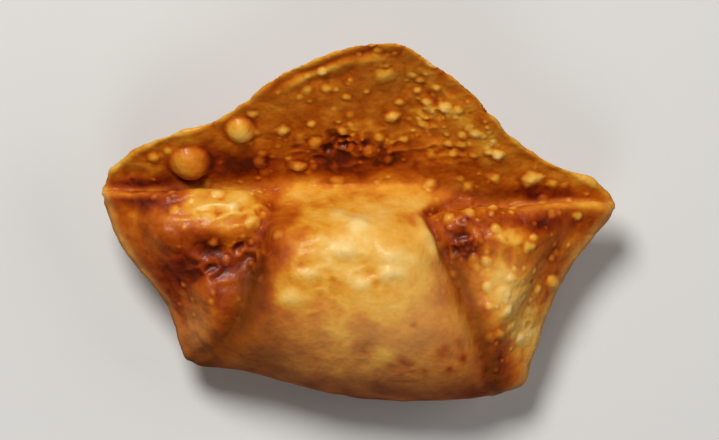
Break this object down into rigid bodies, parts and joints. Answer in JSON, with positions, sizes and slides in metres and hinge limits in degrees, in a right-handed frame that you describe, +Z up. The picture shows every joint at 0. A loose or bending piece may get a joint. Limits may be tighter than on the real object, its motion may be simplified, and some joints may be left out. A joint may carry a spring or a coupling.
{
  "type": "crab rangoon",
  "caption": "Fried crab rangoon: a square wrapper folded over a filling, with two ears folded over the front and its flap bent up, lying on its back.",
  "frame": {"origin": "under the middle of the piece, at the height of the surface that it lies on", "axes": "+X to the right wing tip, +Y from the bottom fold towards the apex of the flap, +Z up"},
  "size_m": [0.0746, 0.0532, 0.0316],
  "materials": {
    "fried_wrapper": "crisp fried dough, golden brown, blistered and lightly oiled"
  },
  "bodies": {
    "root": {"crab_rangoon": "fried_wrapper"}
  },
  "joints": []
}
